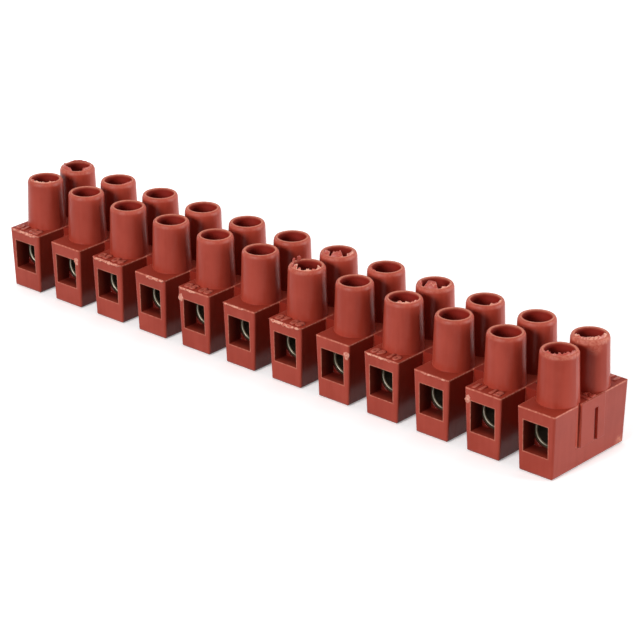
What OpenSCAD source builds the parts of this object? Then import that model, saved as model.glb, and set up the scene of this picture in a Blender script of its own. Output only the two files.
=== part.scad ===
// Screw terminal strip: one moulded housing of joined poles, each pole with a through
// metal sleeve for the wires and a slotted clamp screw in a tower at either end.
// X runs along the strip, the front faces -Y, the base lies on Z = 0.

/* [Strip] */
// Number of poles in the strip
poles = 12; // [2:1:18]
// Distance from one pole to the next
pitch = 10; // [8.5:0.25:14]

/* [Pole] */
// Plastic beside the sleeve's channel, at the sleeve's axis
side_wall = 0.64; // [0.55:0.01:1]
// Plastic below the front wire mouths
floor_t = 3.5; // [2.5:0.05:6]
// Plastic above the sleeve's channel
roof_t = 1.875; // [1.5:0.025:3]
// Draft of the sides that face the next poles, in degrees
side_angle = 2; // [0.5:0.1:3]
// Draft of the front and rear faces, in degrees
face_angle = 1.3; // [0.5:0.1:4]
// Rounding of the edges round the base
base_round = 0.5; // [0.2:0.05:1]
// Rounding of the edges round the top
top_round = 0.2; // [0.1:0.05:0.4]
// Rounding of the upright edges
edge_round = 0.35; // [0.1:0.05:0.6]

/* [Wire mouths] */
// Width of the front mouth, narrower than the sleeve so that its sides stop the sleeve
mouth_w = 4.6; // [3.6:0.1:5]
// Height of the front mouth, which is centred on the sleeve
mouth_h = 5.15; // [4.4:0.05:5.6]
// Depth of a mouth, from the outer face to the sleeve's end
mouth_depth = 2.9; // [2:0.1:5]
// Rounding of the mouth's corners
mouth_round = 0.1; // [0.05:0.05:0.8]
// Room round the sleeve in the wider rear mouth, where the sleeve goes in
rear_room = 0.1; // [0.05:0.01:0.15]

/* [Sleeve] */
// Outside diameter
sleeve_d = 5.3; // [5:0.1:6]
// Bore that takes the wire
sleeve_bore = 3.9; // [3:0.1:4.2]
// Length
sleeve_len = 12.5; // [11.5:0.1:16]
// Chamfer at both ends of the bore
bore_chamfer = 0.2; // [0.1:0.05:0.4]
// Chamfer round the outside of both ends
sleeve_chamfer = 0.15; // [0.05:0.05:0.25]
// Gap between the sleeve and its channel
sleeve_gap = 0.05; // [0.02:0.01:0.1]

/* [Clamp screws] */
// Distance between the two screws of a pole
screw_spacing = 7.64; // [7.2:0.02:8.4]
// Head diameter
head_d = 4.4; // [3.8:0.1:4.6]
// Head height
head_h = 2; // [1.5:0.1:2.4]
// Rounding of the head's top edge
head_round = 0.35; // [0.1:0.05:0.6]
// Slot width
slot_w = 0.8; // [0.5:0.1:1.2]
// Slot depth
slot_depth = 1.1; // [0.5:0.1:1.3]
// Shank diameter
shank_d = 2.9; // [2.2:0.1:3.2]
// Length of the bevel at the screw's tip
tip_bevel = 0.45; // [0.2:0.05:0.8]
// Gap between the shank and the hole in the sleeve
thread_gap = 0.05; // [0.02:0.01:0.1]
// Depth of the head below the tower's rim with the clamp open
head_sink = 2.9; // [2:0.1:4]

/* [Screw towers] */
// Height above the pole's top
tower_h = 8.33; // [7.5:0.01:11]
// Wall of the tower just below its rim
tower_wall = 0.66; // [0.5:0.02:0.8]
// Draft of the tower's outside, in degrees
tower_angle = 1.9; // [0.5:0.1:2.5]
// How far the rounded shoulder of the rim draws in
rim_in = 0.38; // [0.1:0.02:0.45]
// Height of the rim's rounded shoulder
rim_drop = 0.9; // [0.3:0.05:1.5]
// Gap between the screw's head and the tower's bore
head_gap = 0.19; // [0.1:0.01:0.3]
// Plastic between the floor of the tower's bore and the sleeve's channel
seat_t = 1; // [0.6:0.05:1.1]
// Gap between the shank and the hole through that floor
neck_gap = 0.25; // [0.1:0.05:0.4]

/* [Webs] */
// Size from front to back of the web that joins two poles
web_d = 6.5; // [5:0.1:10]
// Height of the web's underside above the base
web_low = 3.4; // [1.5:0.1:6]
// Fixing hole through each web
fixing_d = 3.2; // [2.5:0.1:3.4]

/* [Cut ends] */
// Thickness of the web stub left on each end of the strip
stub_t = 0.12; // [0.05:0.01:0.5]
// Width of the two grooves in a stub
groove_w = 0.85; // [0.4:0.05:1.2]
// Depth of the grooves, from the face of the pole
groove_depth = 0.18; // [0.1:0.02:0.4]
// Distance of the first groove from the stub's edge; below 0 it cuts the edge away
groove_edge = -0.28; // [-0.4:0.02:0.4]
// Distance between the two grooves
groove_spacing = 4.15; // [2.5:0.05:5]
// Plastic above the second groove
groove_roof = 1.8; // [1:0.1:3]

/* [Hidden] */
$fn = 64;
// Straight pieces in a small rounded corner
corner_steps = 3;
// Straight pieces in the shoulder of a rim
rim_steps = 5;
// Overrun of a cut past the face it opens
cut = 1;

channel_r = sleeve_d / 2 + sleeve_gap;
axis_z = floor_t + mouth_h / 2;
body_h = axis_z + channel_r + roof_t;
pole_w = 2 * (channel_r + side_wall);
pole_d = sleeve_len + 2 * mouth_depth;
strip_len = pole_x(poles) - pole_x(1) + width_at(pole_w, side_angle, body_h);

rear_w = 2 * (channel_r + rear_room);

bore_r = head_d / 2 + head_gap;
rim_z = body_h + tower_h;
tower_r = bore_r + tower_wall;
seat_z = axis_z + channel_r + seat_t;

head_top = rim_z - head_sink;
head_low = head_top - head_h;
tip_z = axis_z + sleeve_bore / 2;

groove_low = web_low;

pole_names = [for (i = [1:poles]) i < 10 ? str("0", i) : str(i)];

// Centre of pole i, counted from 1 at the -X end
function pole_x(i) = (i - (poles + 1) / 2) * pitch;

// Width at height z of a drafted block that is w wide at the sleeve's axis
function width_at(w, draft, z) = w + 2 * tan(draft) * (z - axis_z);

// Points of an arc about c
function arc(c, r, from, to) = [
    for (k = [0:corner_steps])
        let (a = from + (to - from) * k / corner_steps)
        c + r * [cos(a), sin(a)]
];

// Right-hand half of a drafted block's section, from the base up
function half_section(w, draft) =
    let (
        low = width_at(w, draft, 0) / 2,
        high = width_at(w, draft, body_h) / 2,
        low_in = base_round / tan((90 + draft) / 2),
        high_in = top_round / tan((90 - draft) / 2)
    )
    concat(
        arc([low - low_in, base_round], base_round, -90, -draft),
        arc([high - high_in, body_h - top_round], top_round, -draft, 90)
    );

// Mirror image of a half section, in the order that closes the outline
function mirrored(half) = [
    for (k = [len(half) - 1:-1:0]) [-half[k].x, half[k].y]
];

// Section of a drafted block, symmetric about its middle
module drafted_section(w, draft) {
    half = half_section(w, draft);
    polygon(concat(half, mirrored(half)));
}

// Rectangle with rounded corners, standing on y = 0
module rounded_rectangle(w, h, r) {
    half = concat(
        arc([w / 2 - r, r], r, -90, 0),
        arc([w / 2 - r, h - r], r, 0, 90)
    );
    polygon(concat(half, mirrored(half)));
}

// Turns a flat section in X and Z into a bar along Y, from y0 to y1
module along_y(y0, y1) {
    translate([0, y1, 0])
        rotate([90, 0, 0])
            linear_extrude(y1 - y0) children();
}

// The poles as drafted blocks: their common end view cut by their front views
module pole_blocks() {
    depth = width_at(pole_d, face_angle, body_h) + 2 * cut;
    intersection() {
        along_y(-depth / 2, depth / 2)
            for (i = [1:poles])
                translate([pole_x(i), 0]) drafted_section(pole_w, side_angle);
        rotate([90, 0, 90])
            linear_extrude(strip_len + 2 * cut, center = true)
                drafted_section(pole_d, face_angle);
    }
}

// What rounding takes off a pole's upright edge, at its corner with x and y above 0
module edge_relief() {
    r = edge_round;
    translate([width_at(pole_w, side_angle, 0) / 2, width_at(pole_d, face_angle, 0) / 2, 0])
        rotate([-face_angle, side_angle, 0])
            translate([0, 0, -cut])
                linear_extrude(body_h + 2 * cut)
                    polygon(concat([[cut, -r], [cut, cut], [-r, cut]], arc([-r, -r], r, 90, 0)));
}

// What rounding takes off all four upright edges of a pole
module edge_reliefs() {
    for (side_x = [0, 1])
        for (side_y = [0, 1])
            mirror([side_x, 0, 0]) mirror([0, side_y, 0]) edge_relief();
}

// One bar makes all the webs and the stubs on the end faces
module webs() {
    len = strip_len + 2 * stub_t;
    translate([-len / 2, -web_d / 2, web_low])
        cube([len, web_d, body_h - web_low]);
}

// Screw tower, solid, with a drafted side and an elliptical shoulder round its rim
module tower() {
    root = top_round + cut / 2;
    root_r = tower_r + tan(tower_angle) * (tower_h + root - rim_drop);
    shoulder = [
        for (k = [0:rim_steps])
            let (a = 90 * k / rim_steps)
            [tower_r - rim_in * (1 - cos(a)), rim_z - rim_drop * (1 - sin(a))]
    ];
    rotate_extrude()
        polygon(concat(
            [[0, body_h - root], [root_r, body_h - root]],
            shoulder,
            [[0, rim_z]]
        ));
}

// Front mouth, sleeve channel and rear mouth of one pole
module wire_way() {
    outside = width_at(pole_d, face_angle, body_h) / 2 + cut;
    inside = sleeve_len / 2 + sleeve_gap;
    along_y(-outside, -inside)
        translate([0, axis_z - mouth_h / 2]) rounded_rectangle(mouth_w, mouth_h, mouth_round);
    along_y(inside, outside)
        translate([0, axis_z - rear_w / 2]) rounded_rectangle(rear_w, rear_w, mouth_round);
    translate([0, inside + cut, axis_z])
        rotate([90, 0, 0])
            cylinder(r = channel_r, h = 2 * inside + cut);
}

// Tower bore for the head, and the hole below it for the shank
module screw_way() {
    translate([0, 0, seat_z])
        cylinder(r = bore_r, h = rim_z - seat_z + cut);
    translate([0, 0, axis_z])
        cylinder(d = shank_d + 2 * neck_gap, h = seat_z - axis_z + cut);
}

// Grooves in the web stub on the +X end face
module end_grooves() {
    face_x = pole_x(poles) + pole_w / 2;
    high = body_h + cut - groove_low;
    first_y = -web_d / 2 + groove_edge;
    translate([face_x - groove_depth, first_y, groove_low])
        cube([cut + groove_depth, groove_w, high]);
    translate([face_x - groove_depth, first_y + groove_spacing, groove_low])
        cube([cut + groove_depth, groove_w, high - cut - groove_roof]);
}

// Places its children at both screws of a pole
module at_screws() {
    for (side = [-1, 1])
        translate([0, side * screw_spacing / 2, 0]) children();
}

module housing() {
    color("#a8453a")
        difference() {
            union() {
                pole_blocks();
                webs();
                for (i = [1:poles])
                    translate([pole_x(i), 0, 0]) at_screws() tower();
            }
            for (i = [1:poles])
                translate([pole_x(i), 0, 0]) {
                    edge_reliefs();
                    wire_way();
                    at_screws() screw_way();
                }
            for (i = [1:poles - 1])
                translate([pole_x(i) + pitch / 2, 0, web_low - cut])
                    cylinder(d = fixing_d, h = body_h - web_low + 2 * cut);
            for (turn = [0, 180])
                rotate([0, 0, turn]) end_grooves();
        }
}

// Turned sleeve: a tube with chamfered ends and a tapped hole under each tower
module sleeve(i) {
    half = sleeve_len / 2;
    inner = sleeve_bore / 2;
    outer = sleeve_d / 2;
    color("#b3a878")
        translate([pole_x(i), 0, axis_z])
            difference() {
                rotate([90, 0, 0])
                    rotate_extrude()
                        polygon([
                            [inner + bore_chamfer, -half],
                            [outer - sleeve_chamfer, -half],
                            [outer, -half + sleeve_chamfer],
                            [outer, half - sleeve_chamfer],
                            [outer - sleeve_chamfer, half],
                            [inner + bore_chamfer, half],
                            [inner, half - bore_chamfer],
                            [inner, -half + bore_chamfer]
                        ]);
                at_screws()
                    cylinder(d = shank_d + 2 * thread_gap, h = outer + cut);
            }
}

// Slotted clamp screw with a cheese head; side is -1 at the front and 1 at the rear
module clamp_screw(i, side) {
    shank_r = shank_d / 2;
    head_r = head_d / 2;
    slot_turn = 47 * i + 31 * side;
    color("#a9abaf")
        translate([pole_x(i), side * screw_spacing / 2, 0])
            difference() {
                rotate_extrude()
                    polygon(concat(
                        [
                            [0, tip_z],
                            [shank_r - tip_bevel, tip_z],
                            [shank_r, tip_z + tip_bevel],
                            [shank_r, head_low],
                            [head_r, head_low]
                        ],
                        arc([head_r - head_round, head_top - head_round], head_round, 0, 90),
                        [[0, head_top]]
                    ));
                translate([0, 0, head_top + (cut - slot_depth) / 2])
                    rotate([0, 0, slot_turn])
                        cube([head_d + cut, slot_w, slot_depth + cut], center = true);
            }
}

housing();
for (i = [1:poles]) {
    sleeve(i);
    clamp_screw(i, -1);
    clamp_screw(i, 1);
}
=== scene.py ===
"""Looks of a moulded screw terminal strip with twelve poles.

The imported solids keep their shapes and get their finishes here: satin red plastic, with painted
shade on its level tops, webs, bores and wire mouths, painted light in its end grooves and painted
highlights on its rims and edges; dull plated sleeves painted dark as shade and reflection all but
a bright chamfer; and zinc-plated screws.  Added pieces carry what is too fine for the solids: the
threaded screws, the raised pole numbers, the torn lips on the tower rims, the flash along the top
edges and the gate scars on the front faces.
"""

from __future__ import annotations

import logging
import math
from dataclasses import dataclass, field
from enum import Enum
from functools import cached_property, reduce
from typing import Any, Iterable, Sequence

import bmesh
import bpy
from mathutils import Matrix, Vector

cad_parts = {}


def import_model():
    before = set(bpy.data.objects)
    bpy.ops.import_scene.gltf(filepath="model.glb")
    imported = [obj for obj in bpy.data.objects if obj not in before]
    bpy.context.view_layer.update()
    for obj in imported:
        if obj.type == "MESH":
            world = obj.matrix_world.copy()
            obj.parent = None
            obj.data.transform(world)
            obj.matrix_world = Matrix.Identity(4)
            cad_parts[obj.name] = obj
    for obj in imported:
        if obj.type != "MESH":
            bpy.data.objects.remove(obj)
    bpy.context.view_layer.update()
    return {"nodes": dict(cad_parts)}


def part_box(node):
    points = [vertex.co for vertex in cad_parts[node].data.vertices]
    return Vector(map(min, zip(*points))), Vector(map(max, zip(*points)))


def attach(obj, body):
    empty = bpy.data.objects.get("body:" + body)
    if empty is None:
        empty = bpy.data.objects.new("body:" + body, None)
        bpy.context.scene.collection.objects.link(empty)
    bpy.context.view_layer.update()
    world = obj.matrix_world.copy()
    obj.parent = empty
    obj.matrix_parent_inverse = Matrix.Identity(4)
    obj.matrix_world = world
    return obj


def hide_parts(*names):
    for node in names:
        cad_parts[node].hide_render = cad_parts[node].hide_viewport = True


LOG = logging.getLogger("terminal_strip")
MM = 0.001
STRIP_BODY = "strip"
PLASTIC_IOR = 1.5

Colour = tuple[float, float, float]
Point = tuple[float, float, float]
Span = tuple[float, float]
Inputs = dict[str | int, Any]


class Side(Enum):
    """The two long sides of the strip, with the sign of Y on each."""

    FRONT = -1
    REAR = 1

    @property
    def word(self) -> str:
        """The side's name as the record's bodies and nodes spell it."""
        return self.name.lower()


class Slot(Enum):
    """The record's material slots."""

    PLASTIC = "red_plastic"
    SCREW = "screw_steel"


@dataclass(frozen=True)
class Sizes:
    """The part's sizes that the finishes and the added pieces follow, in metres.

    Attributes:
        pitch: From one pole to the next.
        end_x: Middle of the last pole.
        half_low: Half the width of a pole at its base.
        half_top: Half the width of a pole at its ledge.
        face_y: Front face of a pole.
        ledge_z: Height of the ledges beside the towers.
        axis_z: Height of the wire's axis.
        mouth_half_x: Half the width of a front wire mouth.
        mouth_half_z: Half its height.
        sleeve_r: Radius of a sleeve's bore.
        chamfer: Width of the chamfer round that bore.
        bore_r: Radius of a tower's bore.
        bore_y: Distance of a tower from the strip's middle.
        rim_z: Height of the rims.
        rim_r: Radius of a rim at the middle of its shoulder.
        rim_drop: Depth of that middle below the rim.
        stub_x: End of a web stub.
        stub_y: Half its depth.
        stub_z: Height of its underside.
    """

    pitch: float = 10.0 * MM
    end_x: float = 55.0 * MM
    half_low: float = 3.128 * MM
    half_top: float = 3.485 * MM
    face_y: float = 9.24 * MM
    ledge_z: float = 10.65 * MM
    axis_z: float = 6.075 * MM
    mouth_half_x: float = 2.3 * MM
    mouth_half_z: float = 2.575 * MM
    sleeve_r: float = 1.95 * MM
    chamfer: float = 0.20 * MM
    bore_r: float = 2.39 * MM
    bore_y: float = 3.82 * MM
    rim_z: float = 18.98 * MM
    rim_r: float = 2.80 * MM
    rim_drop: float = 0.20 * MM
    stub_x: float = 58.62 * MM
    stub_y: float = 3.25 * MM
    stub_z: float = 3.4 * MM


SIZES = Sizes()


def rgba(colour: Colour) -> tuple[float, float, float, float]:
    """The colour as Blender's sockets take it."""
    return (*colour, 1.0)


class Wire:
    """One output of a node; a value takes part in Python arithmetic, and each step adds a node."""

    def __init__(self, graph: Graph, socket: bpy.types.NodeSocket) -> None:
        """Keeps the socket and the graph that new nodes go into."""
        self.graph = graph
        self.socket = socket

    def _step(self, operation: str, *values: Any) -> Wire:
        """Adds one Math node on wires or numbers, and returns its result."""
        return self.graph.wire("ShaderNodeMath", dict(enumerate(values)), operation=operation)

    def __add__(self, other: Any) -> Wire:
        """Sum."""
        return self._step("ADD", self, other)

    __radd__ = __add__

    def __sub__(self, other: Any) -> Wire:
        """Difference."""
        return self._step("SUBTRACT", self, other)

    def __rsub__(self, other: Any) -> Wire:
        """Reflected difference."""
        return self._step("SUBTRACT", other, self)

    def __mul__(self, other: Any) -> Wire:
        """Product."""
        return self._step("MULTIPLY", self, other)

    __rmul__ = __mul__

    def __truediv__(self, other: Any) -> Wire:
        """Quotient."""
        return self._step("DIVIDE", self, other)

    def __pow__(self, other: Any) -> Wire:
        """Power."""
        return self._step("POWER", self, other)

    def at_least(self, other: Any) -> Wire:
        """The larger of the two."""
        return self._step("MAXIMUM", self, other)

    def size(self) -> Wire:
        """The value without its sign."""
        return self._step("ABSOLUTE", self)

    def zigzag(self, half: float) -> Wire:
        """Distance from the nearest whole multiple of twice a length."""
        return self._step("PINGPONG", self, half)

    def diagonal(self, other: Wire) -> Wire:
        """Length of the diagonal over the two."""
        return (self * self + other * other) ** 0.5

    def ramp(self, low: Any, high: Any) -> Wire:
        """Smooth step.

        Args:
            low: Value that gives 0.
            high: Value that gives 1; below low, the step falls.

        Returns:
            The step, between 0 and 1.
        """
        inputs = {"Value": self, "From Min": low, "From Max": high}
        return self.graph.wire("ShaderNodeMapRange", inputs, "Result", interpolation_type="SMOOTHSTEP")

    def past(self, mark: float, none: float, full: float) -> Wire:
        """Smooth step by a mark.

        Args:
            mark: The mark, in metres.
            none: Where the step is 0, in millimetres from the mark.
            full: Where the step is 1, in millimetres from the mark.

        Returns:
            The step, between 0 and 1.
        """
        return self.ramp(mark + none * MM, mark + full * MM)


class Graph:
    """A node tree under construction."""

    def __init__(self, tree: bpy.types.NodeTree) -> None:
        """Starts on an emptied tree."""
        self.tree = tree
        tree.nodes.clear()

    @staticmethod
    def _socket(sockets: Any, key: str | int) -> bpy.types.NodeSocket:
        """The socket with that identifier, name or place."""
        known = [socket for socket in sockets if socket.identifier == key]
        return known[0] if known else sockets[key]

    def node(self, kind: str, inputs: Inputs | None = None, **settings: Any) -> bpy.types.Node:
        """Adds a node.

        Args:
            kind: Blender's type name of the node.
            inputs: Values or wires of its sockets, by name, identifier or place; a list holds
                several wires of one socket.
            settings: The node's own settings, which are set first.

        Returns:
            The node.
        """
        node = self.tree.nodes.new(kind)
        for name, value in settings.items():
            setattr(node, name, value)
        for key, value in (inputs or {}).items():
            socket = self._socket(node.inputs, key)
            for link in value if isinstance(value, list) else [value]:
                if isinstance(link, Wire):
                    self.tree.links.new(link.socket, socket)
                else:
                    socket.default_value = link
        return node

    def wire(
        self, kind: str, inputs: Inputs | None = None, output: str | int = 0, **settings: Any
    ) -> Wire:
        """Adds a node as node() does, and returns one of its outputs."""
        return Wire(self, self._socket(self.node(kind, inputs, **settings).outputs, output))

    def seen(self) -> Wire:
        """Tells the rays that show a surface or its mirror image from the others.

        Returns:
            1 for such a ray, else 0.
        """
        rays = self.node("ShaderNodeLightPath").outputs
        kinds = ("Is Camera Ray", "Is Glossy Ray", "Is Transmission Ray")
        return reduce(Wire.at_least, [Wire(self, rays[kind]) for kind in kinds])


@dataclass(frozen=True)
class Cloud:
    """A cloudy pattern, whose middle value is 0.5.

    Attributes:
        spot: Size of its largest spots, in metres.
        layers: Number of finer layers.
        fine: Share of the finer layers.
        stretch: Scale on each axis; a small number draws the spots out.
    """

    spot: float
    layers: float = 2.0
    fine: float = 0.5
    stretch: Point | None = None


class Paint(Graph):
    """The shader of one material, on Object coordinates."""

    bevel_samples: int = 6

    def __init__(self, name: str) -> None:
        """Makes the material and its coordinates.

        Args:
            name: The material's name.
        """
        self.material = bpy.data.materials.new(name)
        self.material.use_nodes = True
        super().__init__(self.material.node_tree)
        self.place = self.wire("ShaderNodeTexCoord", output="Object")

    def noise(self, cloud: Cloud) -> Wire:
        """The cloudy pattern at each point.

        Args:
            cloud: The pattern.

        Returns:
            Its value.
        """
        place = self.place
        if cloud.stretch:
            place = self.wire("ShaderNodeMapping", {"Vector": place, "Scale": cloud.stretch})
        inputs = {"Vector": place, "Scale": 1.0 / cloud.spot, "Detail": cloud.layers}
        return self.wire("ShaderNodeTexNoise", inputs | {"Roughness": cloud.fine}, "Fac")

    def blend(self, share: Any, first: Any, second: Any) -> Wire:
        """Mixes two colours.

        Args:
            share: Share of the second colour.
            first: Colour or wire at share 0.
            second: Colour or wire at share 1.

        Returns:
            The mixed colour.
        """
        first, second = (rgba(c) if isinstance(c, tuple) else c for c in (first, second))
        inputs = {"Factor_Float": share, "A_Color": first, "B_Color": second}
        return self.wire("ShaderNodeMix", inputs, "Result_Color", data_type="RGBA")

    def axis(self, name: str) -> Wire:
        """One coordinate, in metres."""
        return self.wire("ShaderNodeSeparateXYZ", {0: self.place}, name)

    def across(self) -> Wire:
        """Distance from the middle of the nearest pole, along the strip."""
        half = 0.5 * SIZES.pitch
        return half - self.axis("X").zigzag(half)

    def _vector(self, operation: str, output: str, *values: Any) -> Wire:
        """Adds one Vector Math node on wires or vectors, and returns its vector or value."""
        inputs = dict(enumerate(values))
        return self.wire("ShaderNodeVectorMath", inputs, output, operation=operation)

    def near(self, centre: Point) -> Wire:
        """Distance from a point of the strip, in metres."""
        return self._vector("DISTANCE", "Value", self.place, centre)

    def rim(self, centre: Point, radius: float, facing: Point) -> tuple[Wire, Wire]:
        """Where a point lies by a level circle.

        Args:
            centre: Middle of the circle.
            radius: Its radius.
            facing: Level direction of length 1.

        Returns:
            The distance from the circle, and the distance from its middle along the direction.
        """
        away = self._vector("SUBTRACT", "Vector", self.place, centre)
        level = self._vector("MULTIPLY", "Vector", away, (1.0, 1.0, 0.0))
        out = self._vector("LENGTH", "Value", level) - radius
        ahead = self._vector("DOT_PRODUCT", "Value", level, facing)
        return out.diagonal(self.axis("Z") - centre[2]), ahead

    def soft_edges(self, radius: float) -> Wire:
        """Normal of edges rounded by shading, with the radius in metres."""
        return self.wire("ShaderNodeBevel", {"Radius": radius}, samples=self.bevel_samples)

    def bump(self, height: Wire, depth: float, normal: Wire | None = None) -> Wire:
        """Fine relief.

        Args:
            height: The relief, from 0 to 1.
            depth: Its depth in metres.
            normal: Normal that it starts from, if not the mesh's own.

        Returns:
            The changed normal.
        """
        inputs = {"Height": height, "Distance": depth, "Strength": 1.0}
        return self.wire("ShaderNodeBump", inputs | ({"Normal": normal} if normal else {}))

    def finish(self, **inputs: Any) -> bpy.types.Material:
        """Closes the shader with one Principled BSDF.

        Args:
            inputs: Its sockets, with underscores for spaces.

        Returns:
            The material.
        """
        named = {key.replace("_", " "): value for key, value in inputs.items()}
        self.node("ShaderNodeOutputMaterial", {"Surface": self.wire("ShaderNodeBsdfPrincipled", named)})
        return self.material


class Surface:
    """Masks of the strip's surfaces, from the place of the shaded point.

    A mask is 1 on its surface and fades to 0 past it.  The numbers are millimetres from the mark
    that stands before them.
    """

    wall: Span = (0.06, 0.02)

    def __init__(self, paint: Paint) -> None:
        """Finds where the point lies by the nearest pole, tower bore and wire mouth.

        Args:
            paint: The shader.
        """
        self.y, self.z = paint.axis("Y"), paint.axis("Z")
        self.out_x, self.out_y = paint.axis("X").size(), self.y.size()
        self.across = paint.across()
        self.off_bore = self.across.diagonal(self.out_y - SIZES.bore_y) - SIZES.bore_r
        above = (self.z - SIZES.axis_z).size() - SIZES.mouth_half_z
        self.off_mouth = (self.across - SIZES.mouth_half_x).at_least(above)

    @cached_property
    def bores(self) -> Wire:
        """Insides of the tower bores."""
        return self.off_bore.past(0.0, *self.wall) * self.z.past(SIZES.rim_z, -0.05, -0.5)

    @cached_property
    def mouths(self) -> Wire:
        """Insides of the front wire mouths."""
        return self.off_mouth.past(0.0, *self.wall) * self.y.past(-SIZES.face_y, 0.1, 2.2)

    @cached_property
    def webs(self) -> Wire:
        """Webs between the poles."""
        return self.across.past(SIZES.half_top, 0.03, 0.10) * self.out_x.past(SIZES.end_x, 0.0, -1.0)

    @cached_property
    def level_tops(self) -> Wire:
        """Level tops of the poles and the webs."""
        return (self.z - SIZES.ledge_z).size().past(0.0, *self.wall)

    @cached_property
    def raised_tops(self) -> Wire:
        """What is raised on the ledges in front of and behind the towers."""
        height = self.z.past(SIZES.ledge_z, 0.06, 0.16) * self.z.past(SIZES.ledge_z, 0.5, 0.4)
        return height * self.out_y.past(SIZES.bore_y, 3.35, 3.45)

    @cached_property
    def rim_tops(self) -> Wire:
        """Level tops of the towers."""
        return self.z.past(SIZES.rim_z, -0.10, -0.03)

    @cached_property
    def shoulders(self) -> Wire:
        """Rounded shoulders below the tops of the towers."""
        return self.z.past(SIZES.rim_z, -0.75, -0.35)

    @cached_property
    def sides(self) -> Wire:
        """Drafted pole sides that face the next poles."""
        half = SIZES.half_low + (SIZES.half_top - SIZES.half_low) * (self.z / SIZES.ledge_z)
        return (self.across - half).past(0.0, -0.06, -0.03) * self.out_x.past(SIZES.end_x, 2.5, 2.0)

    @cached_property
    def grooves(self) -> Wire:
        """Grooves in the web stubs on the end faces."""
        deep = (SIZES.stub_x - self.out_x).past(0.0, 0.02, 0.06)
        deep = deep * self.out_x.past(SIZES.end_x, 2.8, 2.9)
        height = self.z.past(SIZES.stub_z, -0.1, 0.0) * self.z.past(SIZES.ledge_z, 0.0, -0.1)
        return deep * height * self.out_y.past(SIZES.stub_y, 0.0, -0.05)

    @cached_property
    def rim_line(self) -> Wire:
        """Thin line on each tower's rim, where a highlight is painted."""
        return self.off_bore.past(0.0, 0.42, 0.22) * self.z.past(SIZES.rim_z, -0.16, -0.06)

    @cached_property
    def top_line(self) -> Wire:
        """Thin line round the top of each pole, for wear and a painted highlight."""
        sides = self.across.past(SIZES.half_top, -0.16, -0.09)
        sides = sides * self.across.past(SIZES.half_top, 0.08, 0.03)
        ends = self.out_y.past(SIZES.face_y, -0.18, -0.10)
        height = self.z.past(SIZES.ledge_z, -0.26, -0.14) * self.z.past(SIZES.ledge_z, 0.12, 0.05)
        return sides.at_least(ends) * height

    @cached_property
    def mouth_line(self) -> Wire:
        """Thin line round each front wire mouth, for wear and a painted highlight."""
        ring = self.off_mouth.past(0.0, 0.20, 0.08) * self.off_mouth.past(0.0, -0.05, 0.0)
        return ring * self.y.past(-SIZES.face_y, 0.26, 0.18)


@dataclass(frozen=True)
class Wear:
    """How far the plastic is paled, for wear and for painted highlights: a share all over, and one more
    on its specks.
    """

    even: float
    specks: float

    def on(self, specks: Wire) -> Wire:
        """The whole share at each point."""
        return self.even + self.specks * specks


@dataclass(frozen=True)
class Rub:
    """A rubbed, paler place on the plastic; its core is a share of its radius."""

    centre: Point
    radius: float
    amount: float
    core: float = 0.3

    def share(self, paint: Paint) -> Wire:
        """How far each point is rubbed."""
        return paint.near(self.centre).ramp(self.radius, self.core * self.radius) * self.amount


@dataclass(frozen=True)
class WornRim:
    """A tower's rim that is rubbed pale on one side.

    Attributes:
        pole: The pole's number.
        side: Front or rear tower.
        turn: Turn of the most worn side, as Strip has it.
        width: How far the wear reaches from the middle of the rim's shoulder.
        amount: How strong it is, up to 1.
        core: Share of the width that is fully worn.
        none_ahead: Where the wear starts across the rim, as a share of its radius.
        full_ahead: Where it is full.
    """

    pole: int
    side: Side
    turn: float
    width: float
    amount: float
    core: float = 0.35
    none_ahead: float = -0.3
    full_ahead: float = 0.6

    def share(self, paint: Paint, strip: Strip) -> Wire:
        """How far each point is rubbed.

        Args:
            paint: The shader.
            strip: Where the towers are.

        Returns:
            The share, up to the amount.
        """
        x, y, z = strip.tower(self.pole, self.side)
        centre = (x, y, z - SIZES.rim_drop)
        off, ahead = paint.rim(centre, SIZES.rim_r, strip.facing(self.turn))
        near = ahead.ramp(self.none_ahead * SIZES.rim_r, self.full_ahead * SIZES.rim_r)
        return off.ramp(self.width, self.core * self.width) * near * self.amount


RUBS: tuple[Rub, ...] = (
    Rub((58.35 * MM, 7.8 * MM, 0.6 * MM), 1.4 * MM, 0.9),
    Rub((57.191 * MM, 2.077 * MM, 17.78 * MM), 1.5 * MM, 0.35),
)
WORN_RIMS: tuple[WornRim, ...] = (
    WornRim(12, Side.FRONT, 20, 0.60 * MM, 0.55),
    WornRim(12, Side.REAR, 0, 0.85 * MM, 0.75),
    WornRim(7, Side.FRONT, -60, 0.60 * MM, 0.35),
    WornRim(7, Side.REAR, 10, 0.60 * MM, 0.40),
    WornRim(9, Side.REAR, -10, 0.60 * MM, 0.40),
    WornRim(1, Side.REAR, -20, 0.60 * MM, 0.40),
)


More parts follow.
